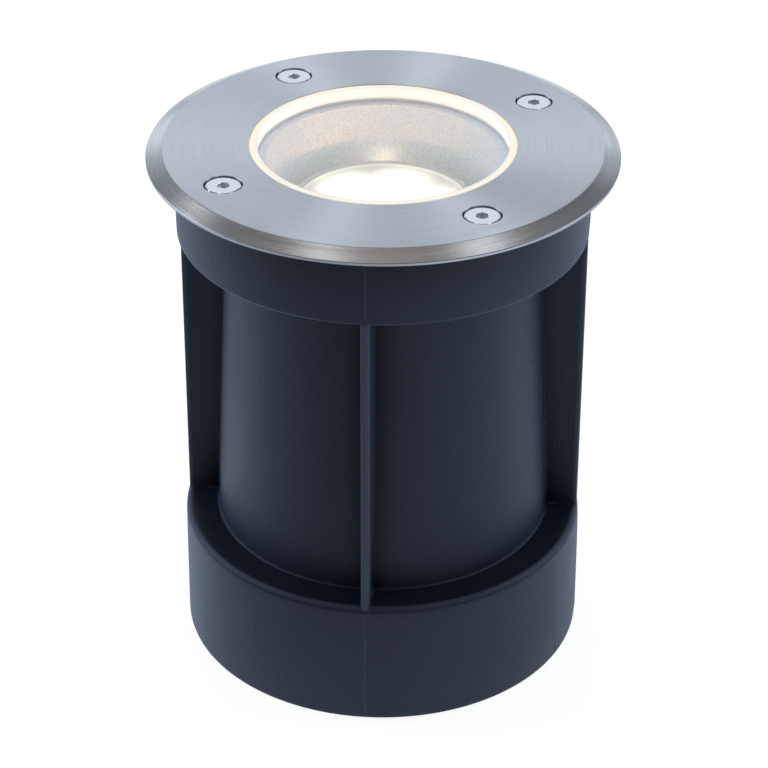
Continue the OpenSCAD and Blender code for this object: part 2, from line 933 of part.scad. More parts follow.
module neutral_lead() {
  color([0.2, 0.35, 0.65])
    holder_lead(1, 0);
}

module earth_lead() {
  start_x = lug_barrel_x + lug_barrel_l;
  start = [start_x, earth_y, lug_barrel_z];
  finish = [pole_pitch, block_front_y - lead_r, pole_hole_z];
  swing = earth_swing_share * (leg_x - bracket_t - lead_r - start_x);
  color([0.35, 0.6, 0.25])
    lead(lead_path(start, [1, 0, 0], swing, finish, [0, 1, 0]), [0, 0, 1]);
}

module earth_lug() {
  color([0.85, 0.83, 0.78])
    difference() {
      union() {
        translate([0, earth_y, pot_inner_z + earth_post_h])
          cylinder(r = lug_r, h = lug_t);
        translate([0, earth_y - lug_r / 2, pot_inner_z + earth_post_h])
          cube([lug_barrel_x + lug_t, lug_r, lug_t]);
        translate([lug_barrel_x, earth_y, lug_barrel_z])
          rotate([0, 90, 0])
            cylinder(r = lug_barrel_r, h = lug_barrel_l);
      }
      translate([0, earth_y, pot_inner_z])
        cylinder(r = small_screw_r + fit_gap, h = earth_post_h + lug_t + overrun);
    }
}

module earth_screw() {
  color([0.8, 0.66, 0.35])
    translate([0, earth_y, pot_inner_z + earth_post_h + lug_t])
      small_screw();
}

// Cable gland
module hexagon(z, h) {
  translate([0, 0, z])
    cylinder(r = gland_hex_r, h = h, $fn = 6);
}

module gland_body() {
  color([0.18, 0.18, 0.19])
    difference() {
      union() {
        translate([0, 0, gland_low_z])
          cylinder(r = gland_r, h = gland_top_z - gland_low_z);
        hexagon(gland_hex_z, gland_hex_h);
      }
      translate([0, 0, gland_low_z - overrun])
        cylinder(r = cable_r + gland_clear, h = gland_top_z - gland_low_z + 2 * overrun);
      translate([0, 0, gland_low_z - overrun])
        cylinder(r = seal_r + fit_gap, h = gland_low_l + overrun);
    }
}

module gland_washer() {
  color([0.1, 0.1, 0.1])
    translate([0, 0, pot_floor_z - gland_washer_t])
      difference() {
        cylinder(r = gland_af / 2, h = gland_washer_t);
        translate([0, 0, -overrun])
          cylinder(r = gland_r + fit_gap, h = gland_washer_t + 2 * overrun);
      }
}

module gland_locknut() {
  color([0.18, 0.18, 0.19])
    difference() {
      hexagon(pot_inner_z, gland_nut_h);
      translate([0, 0, pot_inner_z - overrun])
        cylinder(r = gland_r + fit_gap, h = gland_nut_h + 2 * overrun);
    }
}

module gland_seal() {
  color([0.12, 0.12, 0.12])
    translate([0, 0, gland_low_z])
      difference() {
        cylinder(r = seal_r, h = gland_low_l);
        translate([0, 0, -overrun])
          cylinder(r = cable_r, h = gland_low_l + 2 * overrun);
      }
}

module gland_cap() {
  dome_r = gland_af / 2;
  color([0.18, 0.18, 0.19])
    difference() {
      union() {
        hexagon(gland_low_z, gland_cap_top_z - gland_low_z);
        translate([0, 0, gland_cap_z])
          cylinder(r1 = dome_r - gland_wall, r2 = dome_r, h = gland_low_z - gland_cap_z);
      }
      translate([0, 0, gland_low_z])
        cylinder(r = gland_r + fit_gap, h = gland_low_l + overrun);
      translate([0, 0, gland_cap_z - overrun])
        cylinder(r = cable_r + gland_clear, h = gland_cap_end + 2 * overrun);
    }
}

mounting_sleeve();
trim_ring();
cover_screws();
glass();
glass_gasket();
pot_housing();
threaded_inserts();
lamp_shell();
lamp_bezel();
lamp_lens();
lamp_base();
lamp_pins();
led_board();
led_chips();
driver_board();
lampholder();
holder_contacts();
holder_bracket();
bracket_screws();
holder_screws();
terminal_block();
terminal_screws();
live_lead();
neutral_lead();
earth_lead();
earth_lug();
earth_screw();
gland_body();
gland_washer();
gland_locknut();
gland_seal();
gland_cap();
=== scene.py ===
import json
import math

import bmesh
import bpy
import numpy as np
from mathutils import Matrix, Vector


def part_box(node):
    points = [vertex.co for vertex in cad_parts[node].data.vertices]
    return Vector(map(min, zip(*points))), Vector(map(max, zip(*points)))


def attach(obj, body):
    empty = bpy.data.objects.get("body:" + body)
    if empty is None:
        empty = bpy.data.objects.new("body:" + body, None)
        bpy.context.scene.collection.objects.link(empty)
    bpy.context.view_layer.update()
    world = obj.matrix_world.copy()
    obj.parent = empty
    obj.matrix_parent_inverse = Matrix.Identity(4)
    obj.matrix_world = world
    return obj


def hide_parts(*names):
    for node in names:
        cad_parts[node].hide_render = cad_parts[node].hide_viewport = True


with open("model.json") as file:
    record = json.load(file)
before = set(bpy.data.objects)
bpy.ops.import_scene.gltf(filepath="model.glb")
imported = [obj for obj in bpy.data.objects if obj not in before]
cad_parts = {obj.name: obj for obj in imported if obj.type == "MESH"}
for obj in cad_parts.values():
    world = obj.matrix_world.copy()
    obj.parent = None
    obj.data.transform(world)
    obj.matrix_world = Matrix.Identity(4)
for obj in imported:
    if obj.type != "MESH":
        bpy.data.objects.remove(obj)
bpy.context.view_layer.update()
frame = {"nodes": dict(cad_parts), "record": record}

# The object's sizes are in millimetres, and the studio's in metres
MM = 0.001


def node_size(node):
    """A CAD node's reach from the axis, its lowest height and its highest, in millimetres."""
    low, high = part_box(node)
    return [round(v / MM, 2) for v in (high.x, low.z, high.z)]


SKIRT_BASE_R, _, SLEEVE_H = node_size("mounting_sleeve")
RING_R, RING_BASE, RING_TOP = node_size("trim_ring")
GLASS_R, GLASS_BASE, GLASS_TOP = node_size("glass")
GASKET_R, GASKET_BASE, _ = node_size("glass_gasket")
LENS_R, LENS_BASE, LENS_TOP = node_size("lamp_lens")
BEZEL_R, _, BEZEL_TOP = node_size("lamp_bezel")

# Ground sleeve
SLEEVE_WALL = 2.4
SKIRT_H, SKIRT_R, SKIRT_EDGE = 36.8, 55.7, 2.0
COLLAR_Z, COLLAR_LOW_R, COLLAR_R, COLLAR_EDGE = 124.0, 55.15, 55.45, 0.8
TUBE_TOP_R, TUBE_BASE_R = 42.3, 46.4
# The tube and the ribs flare where they meet the ledge and the collar
FLARE = 0.6
FLARE_STEPS = 5
# Shares of the height between the flares at which the wall has a ring of points
WALL_SHARES = (0.08, 0.25, 0.5, 0.75, 0.92)

# Sleeve ribs
RIB_COUNT = 4
RIB_TOP_R, RIB_BASE_R, RIB_HALF = 55.0, 55.4, 1.1
RIB_EDGE, RIB_ROOT = 0.35, 0.9
RIDGE, RIDGE_HALF, RIDGE_TIP = 0.14, 0.16, 0.05
BAY_STEPS, ROOT_STEPS, SIDE_STEPS = 30, 5, 8

# Seam of the mould on skirt and collar: its half width in degrees, and its heights
SEAM_HALF, SKIRT_SEAM, COLLAR_SEAM = 0.16, 0.16, 0.12

# Where highlights are painted: half the pale seam's angle in radians, the seam's ends, and a rib's nose
SEAM_PALE = 0.0016
SEAM_END_Z, SEAM_START_Z = SKIRT_H - 2.8, COLLAR_Z + 2
RIB_NOSE = 0.6

# Trim ring
OPENING_R, FLAT_R = 35.3, 58.0
RING_SIDE_TOP = RING_BASE + 0.8

# Cover screws
SCREW_CIRCLE_R, SCREW_TURN, SCREW_COUNT = 47.75, -9, 4
SCREW_ANGLES = [math.radians(SCREW_TURN + 360 / SCREW_COUNT * k) for k in range(SCREW_COUNT)]
SCREW_SPINS = (0.2, 0.75, 0.45, 1.0)
SCREW_TOP, SCREW_L = RING_TOP - 0.2, 16
SHANK_R, SHANK_CHAMFER, HEAD_H = 2.5, 0.4, 2.4
HEAD_R, HEAD_FACE_R, HEAD_BAND_LOW, HEAD_BAND_TOP = 4.65, 4.27, 0.25, 0.17
SINK_BORE_R, SINK_R, SINK_RIM_R = 2.8, 4.97, 5.17
SOCKET_R, SOCKET_DEPTH, SOCKET_TURN = 1.732, 0.9, 0.3
CUT_PAST = 1.2

# Glass and gasket
GLASS_NECK_R, GLASS_STEP_Z = 33.3, 144.4
LIP_R = 35.25

# The pot's well: its radius under the step and over it, and the heights over which its painted blue light
# sets in
WELL_R, WELL_TOP_R, WELL_STEP_Z = 32.1, 33.7, 138.3
WELL_LOW_Z, WELL_FULL_Z = 100, 105

# Lamp
BEZEL_WALL, BEZEL_H = 2, 4
LED_CIRCLE_R = 12.2
DOME_R, DOME_H = 5.9, 0.75
LIT_REACH, LIT_FADE = 12.2, 6.5

# The two small lamps in the well: one under the lens, with its cone in degrees, and one by the far wall
LED_LIGHT_Z, LED_CONE = 119, 151
STRAY_Z, STRAY_OUT = 122.2, 27.2

# Steps round the axis
RING_STEPS, SINK_STEPS, SCREW_STEPS, GLASS_STEPS, LAMP_STEPS = 288, 64, 72, 192, 144

# Camera, in degrees, metres and pixels of the photograph, and its sensor in millimetres
CAMERA_AZIMUTH, CAMERA_ELEVATION, CAMERA_ROLL = 49.73, 31.691, 0.1554
CAMERA_DISTANCE = 0.7207
TARGET = Vector((0, 0, 0.07316))
PHOTO_WIDTH, FOCAL_PIXELS, SHIFT_PIXELS = 768, 2591.9, 1.37
SENSOR_WIDTH = 36
# The camera's side of the ring, as an angle round the axis
FRONT = CAMERA_AZIMUTH - 90


# Node helpers
class Nodes:
    """A material's node tree, written top down."""

    def __init__(self, tree):
        self.tree = tree
        self.tree.nodes.clear()

    def add(self, kind, inputs=None, **settings):
        n = self.tree.nodes.new(kind)
        for k, v in settings.items():
            setattr(n, k, v)
        for k, v in (inputs or {}).items():
            self.feed(n.inputs[k], v)
        return n

    def feed(self, socket, value):
        if isinstance(value, bpy.types.NodeSocket):
            self.tree.links.new(value, socket)
        elif isinstance(value, tuple) and len(value) == 3 and socket.type == "RGBA":
            socket.default_value = (*value, 1)
        else:
            socket.default_value = value

    def math(self, op, a, b=0.0):
        return self.add("ShaderNodeMath", {0: a, 1: b}, operation=op).outputs[0]

    def coords(self):
        return self.add("ShaderNodeTexCoord").outputs["Object"]

    def polar(self):
        """The radius from the axis, the angle round it, and the height."""
        x, y, z = self.add("ShaderNodeSeparateXYZ", {0: self.coords()}).outputs
        square = self.math("ADD", self.math("MULTIPLY", x, x), self.math("MULTIPLY", y, y))
        return self.math("POWER", square, 0.5), self.math("ARCTAN2", y, x), z

    def turned(self, along, across):
        """Coordinates for fine lines that run round the axis."""
        r, a, _ = self.polar()
        scaled = {0: self.math("MULTIPLY", r, across), 1: self.math("MULTIPLY", a, along)}
        return self.add("ShaderNodeCombineXYZ", scaled).outputs[0]

    def distance(self, point):
        n = self.add("ShaderNodeVectorMath", {0: self.coords(), 1: point}, operation="DISTANCE")
        return n.outputs["Value"]

    def attribute(self, name):
        return self.add("ShaderNodeAttribute", attribute_name=name).outputs["Fac"]

    def path(self, kind):
        return self.add("ShaderNodeLightPath").outputs[f"Is {kind} Ray"]

    def noise(self, vector, scale, detail, rough=0.5):
        inputs = {"Vector": vector, "Scale": scale, "Detail": detail, "Roughness": rough}
        return self.add("ShaderNodeTexNoise", inputs).outputs["Fac"]

    def span(self, value, a, b, lo=0.0, hi=1.0):
        """lo at a, hi at b, and straight between them."""
        inputs = {"Value": value, "From Min": a, "From Max": b, "To Min": lo, "To Max": hi}
        return self.add("ShaderNodeMapRange", inputs).outputs["Result"]

    def stretch(self, noise, lo=0.0, hi=1.0):
        """A noise whose usual range is stretched from lo to hi."""
        return self.span(noise, 0.3, 0.7, lo, hi)

    def across(self, value, a, b, lo=0.0, hi=1.0):
        """As span, between two sizes in millimetres."""
        return self.span(value, a * MM, b * MM, lo, hi)

    def mix(self, fac, a, b, blend="MIX"):
        n = self.add("ShaderNodeMix", data_type="RGBA", blend_type=blend)
        self.feed(n.inputs[0], fac)
        self.feed(n.inputs[6], a)
        self.feed(n.inputs[7], b)
        return n.outputs[2]

    def bump(self, height, distance, strength):
        inputs = {"Height": height, "Distance": distance, "Strength": strength}
        return self.add("ShaderNodeBump", inputs).outputs["Normal"]

    def shader(self, **inputs):
        named = {k.replace("_", " "): v for k, v in inputs.items()}
        return self.add("ShaderNodeBsdfPrincipled", named).outputs[0]

    def clear_to_lamps(self, shader):
        """The shader, through which the lamps' light falls unhindered."""
        clear = self.add("ShaderNodeBsdfTransparent").outputs[0]
        return self.add("ShaderNodeMixShader", {0: self.path("Shadow"), 1: shader, 2: clear}).outputs[0]

    def out(self, shader):
        self.add("ShaderNodeOutputMaterial", {"Surface": shader})


def material(name, build):
    m = bpy.data.materials.new(name)
    m.use_nodes = True
    build(Nodes(m.node_tree))
    return m


# Materials
def sleeve_plastic(n):
    """Black plastic with a fine moulded grain, with painted highlights on its edges and painted shade in
    its recesses.
    """
    dark, pale, dust = (0.0088, 0.0105, 0.021), (0.0128, 0.0146, 0.0275), (0.035, 0.045, 0.07)
    highlight_tone, shade = (0.095, 0.11, 0.15), (0.003, 0.0028, 0.003)
    p = n.coords()
    grain = n.noise(p, 1500, 3, 0.7)
    cloud = n.noise(p, 38, 3, 0.55)
    speck = n.noise(p, 1700, 2, 0.6)
    deep = n.attribute("deep")
    tone = n.mix(n.span(cloud, 0.35, 0.65), dark, pale)
    tone = n.mix(n.span(speck, 0.6, 0.74, 0.0, 0.7), tone, dust)
    # Painted highlights on the seam line, the edges and the ribs' noses
    tone = n.mix(n.attribute("painted_highlight"), tone, highlight_tone)
    # Painted shade in the recesses, which also darkens the specular tint and sets the roughness below
    tone = n.mix(deep, tone, shade)
    n.out(
        n.shader(
            Base_Color=tone,
            Roughness=n.span(deep, 0.0, 1.0, n.stretch(cloud, 0.425, 0.5), 0.32),
            Specular_IOR_Level=0.34,
            Specular_Tint=n.mix(deep, (0.76, 0.85, 1.0), (0.18, 0.19, 0.24)),
            Sheen_Weight=0.4,
            Sheen_Tint=(0.4, 0.62, 1.0),
            Sheen_Roughness=0.35,
            Normal=n.bump(grain, 0.00016, 0.9),
        )
    )


def reflection_spoke(n, angle, centre, power, strength, pair=True):
    """A painted reflection on a turned face, as a spoke along a diameter, or along one radius; centre is in
    degrees from the front.
    """
    c = n.math("COSINE", n.math("SUBTRACT", angle, math.radians(FRONT + centre)))
    c = n.math("ABSOLUTE", c) if pair else n.math("MAXIMUM", c, 0.0)
    return n.math("MULTIPLY", n.math("POWER", c, power), strength)


def painted_reflection_spokes(n, angle, bevel):
    """Painted reflection: the light and dark spokes of the ring's turned top, with two more dark ones on
    its bevel.
    """
    reflection_level = 0.915
    for centre, power, strength in ((-15, 60, 0.27), (27, 50, 0.25), (90, 8, 0.1)):
        reflection_level = n.math("ADD", reflection_level, reflection_spoke(n, angle, centre, power, strength))
    reflection_level = n.math("ADD", reflection_level, reflection_spoke(n, angle, 52, 20, -0.13, pair=False))
    right = reflection_spoke(n, angle, 56, 30, 0.08, pair=False)
    left = reflection_spoke(n, angle, -41, 90, 0.12, pair=False)
    return n.math("SUBTRACT", reflection_level, n.math("MULTIPLY", bevel, n.math("ADD", right, left)))


def trim_steel(n):
    """Turned stainless steel, smoother on the bevel and painted paler there in highlight streaks, with
    painted reflection spokes and painted shade in the countersinks, and dark on the ring's plain edge.
    """
    dark, pale, bevel_streak_highlight = (0.56, 0.56, 0.57), (0.72, 0.72, 0.73), (0.8, 0.79, 0.78)
    side_tone, sink_shade_tone = (0.34, 0.34, 0.36), (0.1, 0.095, 0.095)
    r, angle, z = n.polar()
    fine = n.noise(n.turned(3.0, 9000), 1.0, 4, 0.65)
    broad = n.noise(n.turned(1.2, 1600), 1.0, 3, 0.6)
    wide = n.noise(n.turned(0.7, 620), 1.0, 3, 0.6)
    bevel = n.across(r, FLAT_R - 0.1, FLAT_R + 0.1)
    tone = n.mix(n.stretch(fine), dark, pale)
    # Painted highlight streaks on the bevel
    tone = n.mix(n.math("MULTIPLY", bevel, n.span(wide, 0.32, 0.68)), tone, bevel_streak_highlight)
    # Painted reflection: light and dark spokes round the ring
    tone = n.mix(1.0, tone, painted_reflection_spokes(n, angle, bevel), "MULTIPLY")
    tone = n.mix(n.across(z, RING_SIDE_TOP + 0.1, RING_SIDE_TOP - 0.1), tone, side_tone)
    # Painted shade in the countersinks
    tone = n.mix(n.attribute("deep"), tone, sink_shade_tone)
    n.out(
        n.shader(
            Base_Color=tone,
            Metallic=1.0,
            Roughness=n.math("MULTIPLY", n.stretch(broad, 0.29, 0.34), n.span(bevel, 0.0, 1.0, 1.0, 0.75)),
            Anisotropic=0.3,
            Anisotropic_Rotation=0.25,
            Tangent=n.add("ShaderNodeTangent", direction_type="RADIAL", axis="Z").outputs[0],
            Normal=n.bump(fine, 0.000012, 0.6),
        )
    )


def screw_steel(n):
    """Polished, and dull in the sockets, which are painted paler as light in them."""
    dark, pale, socket = (0.77, 0.755, 0.77), (0.82, 0.8, 0.815), (0.88, 0.87, 0.87)
    grain = n.noise(n.coords(), 900, 3, 0.6)
    deep = n.attribute("deep")
    # The sockets are painted paler, as light in them
    tone = n.mix(deep, n.mix(n.stretch(grain), dark, pale), socket)
    rough = n.span(deep, 0.0, 1.0, n.stretch(grain, 0.1, 0.17), 0.4)
    n.out(n.shader(Base_Color=tone, Metallic=1.0, Roughness=rough))


def clear_glass(n):
    glass = n.shader(Base_Color=(0.97, 0.99, 0.985), Roughness=0.0, IOR=1.5, Transmission_Weight=1.0)
    n.out(n.clear_to_lamps(glass))


def silicone(n):
    """Translucent, with a painted glow for the lamp's light, most on its lip, a brown line at the glass's
    foot, and painted shade below the glass.
    """
    cream, ivory, low_shade = (0.93, 0.87, 0.76), (0.96, 0.91, 0.82), (0.42, 0.44, 0.48)
    bore_glow, lip_glow = (1.0, 0.92, 0.86), (1.0, 0.83, 0.54)
    foot_glow, low_glow = (0.6, 0.34, 0.18), (0.28, 0.3, 0.34)
    r, _, z = n.polar()
    cloud = n.noise(n.coords(), 90, 3, 0.6)
    low = n.across(z, GLASS_BASE - 0.1, GLASS_BASE - 0.3)
    # Painted shade below the glass
    tone = n.mix(low, n.mix(n.stretch(cloud), cream, ivory), low_shade)
    # Painted glow for the lamp's light
    glow = n.mix(n.across(r, GLASS_NECK_R, LIP_R - 0.05), bore_glow, lip_glow)
    glow = n.mix(n.across(z, GLASS_BASE + 0.2, GLASS_BASE), glow, foot_glow)
    glow = n.mix(low, glow, low_glow)
    power = n.across(r, GLASS_NECK_R, LIP_R - 0.75, 0.52, 0.62)
    power = n.math("MULTIPLY", power, n.span(cloud, 0.25, 0.75, 0.94, 1.06))
    n.out(n.shader(Base_Color=tone, Roughness=0.45, Emission_Color=glow, Emission_Strength=power))


def cast_aluminium(n):
    """As cast, with a fine sparkle; the well is painted paler and bluer, as the blue light in it, and is
    less metallic.
    """
    dark, pale, stain, spark = (0.4, 0.41, 0.43), (0.6, 0.61, 0.62), (0.4, 0.4, 0.41), (1.0, 0.98, 0.95)
    well_lit_dark, well_lit_pale, well_lit_stain = (0.59, 0.66, 0.77), (0.88, 0.94, 1.0), (0.62, 0.68, 0.78)
    p = n.coords()
    r, _, z = n.polar()
    wall = n.across(z, WELL_STEP_Z - 0.1, WELL_STEP_Z + 0.1, WELL_R * MM, WELL_TOP_R * MM)
    inside = n.math("LESS_THAN", r, wall)
    well = n.math("MULTIPLY", inside, n.across(z, WELL_LOW_Z, WELL_FULL_Z))
    grain = n.noise(p, 1900, 3, 0.75)
    cloud = n.noise(p, 90, 3, 0.6)
    speck = n.noise(p, 2300, 1)
    coarse = n.span(grain, 0.36, 0.64)
    cast = n.mix(n.span(cloud, 0.35, 0.7, 0.0, 0.5), n.mix(coarse, dark, pale), stain)
    # Painted blue light in the well: its tone paler and bluer
    well_blue_light = n.mix(n.span(cloud, 0.35, 0.7, 0.0, 0.22), n.mix(coarse, well_lit_dark, well_lit_pale), well_lit_stain)
    tone = n.mix(n.span(speck, 0.66, 0.72), n.mix(well, cast, well_blue_light), spark)
    n.out(
        n.shader(
            Base_Color=tone,
            Metallic=n.span(well, 0.0, 1.0, 0.5, 0.15),
            Roughness=n.stretch(grain, 0.4, 0.54),
            Normal=n.bump(grain, 0.00016, 0.8),
        )
    )


def lamp_optic(n):
    """Lit over its light sources, and lets the lamp's light by."""
    lit = n.attribute("lit")
    glow = n.shader(
        Base_Color=(0.62, 0.64, 0.66),
        Roughness=0.12,
        Emission_Color=n.mix(lit, (1.0, 0.84, 0.62), (1.0, 0.93, 0.80)),
        Emission_Strength=n.span(lit, 0.0, 1.0, 0.3, 1.3),
    )
    n.out(n.clear_to_lamps(glow))


def bezel_aluminium(n):
    """Satin, with a painted glow for the lens's light on its two edges, and a faint painted glow all over.
    """
    r, _, _ = n.polar()
    grain = n.noise(n.turned(4.0, 5000), 1.0, 3, 0.6)
    bore_r = BEZEL_R - BEZEL_WALL
    inner_glint = n.across(r, bore_r + 0.2, bore_r + 0.1, 0.0, 0.4)
    # Painted glow on the bezel's two edges
    edge = n.math("MAXIMUM", inner_glint, n.across(r, BEZEL_R - 0.26, BEZEL_R - 0.16))
    n.out(
        n.shader(
            Base_Color=n.mix(n.stretch(grain), (0.62, 0.63, 0.66), (0.72, 0.73, 0.76)),
            Metallic=1.0,
            Roughness=0.32,
            Emission_Color=(1.0, 0.82, 0.56),
            Emission_Strength=n.math("ADD", n.math("MULTIPLY", edge, 0.8), 0.03),
        )
    )


def plain(color, rough, metallic=0.0, **more):
    """The finish of a small piece: one colour with a faint cloud and a fine grain."""
    vary = 0.06
    dark = tuple(c * (1 - vary) for c in color)
    pale = tuple(min(c * (1 + vary), 1) for c in color)

    def build(n):
        p = n.coords()
        cloud = n.noise(p, 50, 3)
        grain = n.noise(p, 600, 3, 0.6)
        n.out(
            n.shader(
                Base_Color=n.mix(n.stretch(cloud), dark, pale),
                Roughness=n.stretch(grain, rough * 0.92, rough * 1.08),
                Metallic=metallic,
                Normal=n.bump(grain, 0.00003, 0.5),
                **more,
            )
        )

    return build


FINISHES = {
    "sleeve_plastic": sleeve_plastic,
    "trim_steel": trim_steel,
    "screw_steel": screw_steel,
    "clear_glass": clear_glass,
    "silicone": silicone,
    "cast_aluminium": cast_aluminium,
    "brass": plain((0.72, 0.55, 0.26), 0.3, 1.0),
    "lamp_paint": plain((0.8, 0.8, 0.79), 0.4),
    "bezel_aluminium": bezel_aluminium,
    "lamp_optic": lamp_optic,
    "light_board": plain((0.85, 0.85, 0.83), 0.4),
    "light_chip": plain((1.0, 0.85, 0.4), 0.4, Emission_Color=(1.0, 0.85, 0.55), Emission_Strength=4.0),
    "lamp_base_plastic": plain((0.85, 0.85, 0.83), 0.4),
    "nickel": plain((0.7, 0.67, 0.6), 0.25, 1.0),
    "driver_laminate": plain((0.03, 0.16, 0.07), 0.35),
    "holder_ceramic": plain((0.84, 0.82, 0.76), 0.6),
    "zinc_steel": plain((0.6, 0.61, 0.63), 0.35, 1.0),
    "block_plastic": plain((0.82, 0.8, 0.74), 0.45),
    "brown_sheath": plain((0.12, 0.05, 0.025), 0.4),
    "blue_sheath": plain((0.02, 0.09, 0.38), 0.4),
    "earth_sheath": plain((0.1, 0.35, 0.05), 0.4),
    "gland_plastic": plain((0.022, 0.022, 0.025), 0.4),
    "seal_rubber": plain((0.018, 0.018, 0.018), 0.7),
}
MATERIALS = {name: material(name, build) for name, build in FINISHES.items()}

for subpart in frame["record"]["subparts"]:
    for slot in frame["nodes"][subpart["node"]].material_slots:
        slot.material = MATERIALS[subpart["material_slot"]]


# Mesh helpers
def put(name, data):
    """An object in the scene."""
    o = bpy.data.objects.new(name, data)
    bpy.context.scene.collection.objects.link(o)
    return o


def piece(name, me, body, node, slot, sharp=40):
    """A piece of the model that stands for a CAD node; edges sharper than sharp degrees stay crisp."""
    me.validate()
    me.shade_smooth()
    me.set_sharp_from_angle(angle=math.radians(sharp))
    me.materials.append(MATERIALS[slot])
    o = put(name, me)
    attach(o, body)
    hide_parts(node)


def mesh_from(bm, name):
    me = bpy.data.meshes.new(name)
    bm.to_mesh(me)
    bm.free()
    return me


def skin(name, rows, closed=False):
    """A mesh over rows of points, where one point is an end; closed joins the last row to the first."""
    bm = bmesh.new()
    rows = [[bm.verts.new([c * MM for c in p]) for p in row] for row in rows]
    for a, b in zip(rows, rows[1:] + (rows[:1] if closed else [])):
        n = max(len(a), len(b))
        for i in range(n):
            m = (i + 1) % n
            if len(a) == 1:
                bm.faces.new((a[0], b[m], b[i]))
            elif len(b) == 1:
                bm.faces.new((a[i], a[m], b[0]))
            else:
                bm.faces.new((a[i], a[m], b[m], b[i]))
    # Points that fall together are joined before the faces are turned outwards
    bmesh.ops.remove_doubles(bm, verts=bm.verts, dist=1e-7)
    bmesh.ops.dissolve_degenerate(bm, edges=bm.edges, dist=1e-7)
    bmesh.ops.recalc_face_normals(bm, faces=bm.faces)
    return mesh_from(bm, name)


def arc(cx, cy, r, start, end, steps):
    """steps + 1 points of an arc between two angles in degrees."""
    angles = [math.radians(start + (end - start) * i / steps) for i in range(steps + 1)]
    return [(cx + r * math.cos(a), cy + r * math.sin(a)) for a in angles]


def circle(r, z, steps):
    """Points of a circle round the axis, or the one point on it."""
    if r == 0:
        return [(0.0, 0.0, z)]
    return [(r * math.cos(a), r * math.sin(a), z) for a in (2 * math.pi * i / steps for i in range(steps))]


def lathe(name, profile, steps, closed=False):
    """A profile of (radius, height) points turned round the axis."""
    return skin(name, [circle(r, z, steps) for r, z in profile], closed)


def rounded(points, radii, steps=4, hold=0.1):
    """A profile with rounded corners, and a point hold past each arc, so that its flats shade flat."""
    out = []
    for i, (point, r) in enumerate(zip(points, radii)):
        if not r:
            out.append(point)
            continue
        p = Vector(point)
        a = Vector(points[i - 1]) - p
        b = Vector(points[(i + 1) % len(points)]) - p
        room_a, room_b = a.length, b.length
        a.normalize()
        b.normalize()
        half = a.angle(b) / 2
        d = min(r / math.tan(half), room_a * 0.45, room_b * 0.45)
        centre = p + (a + b).normalized() * (d / math.cos(half))
        start, end = p + a * d - centre, p + b * d - centre
        turn = start.angle(end)
        if d + hold < room_a / 2:
            out.append(tuple(p + a * (d + hold)))
        for k in range(steps + 1):
            t = k / steps
            way = start * math.sin((1 - t) * turn) + end * math.sin(t * turn)
            out.append(tuple(centre + way / math.sin(turn)))
        if d + hold < room_b / 2:
            out.append(tuple(p + b * (d + hold)))
    return out


def cut(me, cutter):
    """The mesh with the cutter taken off it."""
    whole, tool = put("cut_whole", me), put("cut_tool", cutter)
    modifier = whole.modifiers.new("cut", "BOOLEAN")
    modifier.operation, modifier.solver, modifier.object = "DIFFERENCE", "EXACT", tool
    graph = bpy.context.evaluated_depsgraph_get()
    out = bpy.data.meshes.new_from_object(whole.evaluated_get(graph))
    for o in (whole, tool):
        bpy.data.objects.remove(o)
    return out


def placed(me, out=0.0, turn=0.0, spin=0.0):
    """The mesh spun about its own axis, moved out, and turned round the object's axis."""
    me.transform(
        Matrix.Rotation(turn, 4, "Z") @ Matrix.Translation((out * MM, 0, 0)) @ Matrix.Rotation(spin, 4, "Z")
    )
    return me


def joined(name, meshes):
    bm = bmesh.new()
    for me in meshes:
        bm.from_mesh(me)
    return mesh_from(bm, name)


def share(value):
    """A number held between 0 and 1."""
    return max(0.0, min(1.0, value))


def paint(me, name, mark):
    """Writes mark(x, y, z) to each vertex, for the materials to read."""
    layer = me.attributes.new(name, "FLOAT", "POINT")
    for v, d in zip(me.vertices, layer.data):
        d.value = mark(*(v.co / MM))


# Ground sleeve
def tube_r(z):
    return TUBE_BASE_R + (TUBE_TOP_R - TUBE_BASE_R) * (z - SKIRT_H) / (COLLAR_Z - SKIRT_H)


def rib_r(z):
    return RIB_BASE_R + (RIB_TOP_R - RIB_BASE_R) * (z - SKIRT_H) / (COLLAR_Z - SKIRT_H)


def half_section(z, off):
    """Half a sector's outline, from the middle of a bay to a rib's ridge, as (along the rib, beside it)."""
    tube, nose = tube_r(z) + off, rib_r(z)
    # The fillet at the rib's root touches the tube and the rib's side
    root_y = RIB_HALF + off + RIB_ROOT
    root_x = math.sqrt((tube + RIB_ROOT) ** 2 - root_y**2)
    touch = math.degrees(math.atan2(root_y, root_x))
    points = arc(0.0, 0.0, tube, 180 / RIB_COUNT, touch, BAY_STEPS)[:-1]
    points += arc(root_x, root_y, RIB_ROOT, touch - 180, -90, ROOT_STEPS)
    edge_x, edge_y = nose - RIDGE - RIB_EDGE, RIB_HALF - RIB_EDGE
    # The flare dies out towards the rib's nose
    for i in range(1, SIDE_STEPS + 1):
        t = i / SIDE_STEPS
        fade = 1 - max(0.0, (t - 0.7) / 0.3) ** 1.5
        points.append((root_x + (edge_x - root_x) * t, RIB_HALF + off * fade))
    for a in (math.radians(25), math.radians(50), math.radians(72)):
        points.append((edge_x + RIB_EDGE * math.sin(a), edge_y + RIB_EDGE * math.cos(a)))
    return points + [(nose - RIDGE / 4, RIDGE_HALF), (nose, RIDGE_TIP)]


def section(z, off=0.0):
    """The closed outline of the tube and its ribs at a height, as x, y."""
    half = half_section(z, off)
    sector = half + [(x, -y) for x, y in reversed(half)]
    points = []
    for k in range(RIB_COUNT):
        a = math.pi / RIB_COUNT - 2 * math.pi / RIB_COUNT * k
        c, s = math.cos(a), math.sin(a)
        points += [(x * c - y * s, x * s + y * c) for x, y in sector]
    return np.array(points)


